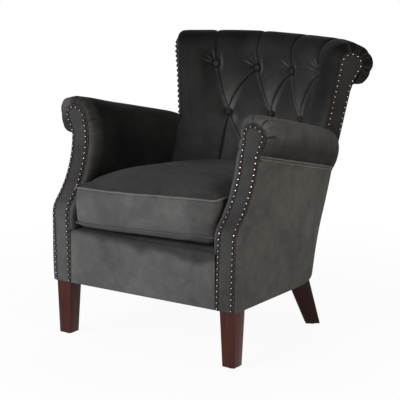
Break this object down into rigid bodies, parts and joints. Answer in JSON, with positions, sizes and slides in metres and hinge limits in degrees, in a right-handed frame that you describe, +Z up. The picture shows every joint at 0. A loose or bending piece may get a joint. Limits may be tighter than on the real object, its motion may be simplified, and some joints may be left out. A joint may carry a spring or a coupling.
{
  "type": "button back armchair",
  "caption": "Tub shaped upholstered armchair with scrolled arms, a tufted rolled back, a loose box cushion, nail trimmed facings and square tapered legs.",
  "frame": {"origin": "on the floor under the middle of the chair's bounding box", "axes": "+Z up, the chair faces -Y, +X to the sitter's left"},
  "size_m": [0.732, 0.8604, 0.868],
  "materials": {
    "velvet": "charcoal grey velvet with a soft sheen",
    "lining_velvet": "plain dark platform cloth",
    "mahogany": "dark red brown, satin lacquer",
    "beech": "bare planed wood",
    "antique_brass": "antique bronze, polished on the domes",
    "steel": "zinc plated",
    "glide_plastic": "matt black",
    "black_lining": "matt non-woven cloth",
    "webbing": "woven jute"
  },
  "bodies": {
    "chair": {"back_buttons": "velvet", "back_pad": "velvet", "back_webbing": "webbing", "block_screws": "steel", "crest_rail": "beech", "dust_cover": "black_lining", "front_border": "velvet", "front_rail": "beech", "left_arm_facing": "velvet", "left_arm_nails": "antique_brass", "left_arm_pad": "velvet", "left_arm_post": "beech", "left_arm_rail": "beech", "left_arm_welt": "velvet", "left_back_facing": "velvet", "left_back_nails": "antique_brass", "left_back_post": "beech", "left_corner_block": "beech", "left_corner_rail": "beech", "left_front_glide": "glide_plastic", "left_front_leg": "mahogany", "left_outside_arm": "velvet", "left_rear_block": "beech", "left_rear_glide": "glide_plastic", "left_rear_leg": "mahogany", "left_side_rail": "beech", "leg_bolts": "steel", "lower_back_rail": "beech", "outside_back": "velvet", "rear_rail": "beech", "right_arm_facing": "velvet", "right_arm_nails": "antique_brass", "right_arm_pad": "velvet", "right_arm_post": "beech", "right_arm_rail": "beech", "right_arm_welt": "velvet", "right_back_facing": "velvet", "right_back_nails": "antique_brass", "right_back_post": "beech", "right_corner_block": "beech", "right_corner_rail": "beech", "right_front_glide": "glide_plastic", "right_front_leg": "mahogany", "right_outside_arm": "velvet", "right_rear_block": "beech", "right_rear_glide": "glide_plastic", "right_rear_leg": "mahogany", "right_side_rail": "beech", "seat_deck": "lining_velvet", "seat_springs": "steel", "spring_clips": "steel", "spring_cover": "black_lining"},
    "cushion": {"cushion_bottom_piping": "velvet", "cushion_top_piping": "velvet", "seat_cushion": "velvet"}
  },
  "joints": [
    {"name": "cushion_lift", "type": "slide", "parent": "chair", "child": "cushion", "axis": [0, 0, 1], "range_m": [0, 0.4]}
  ]
}
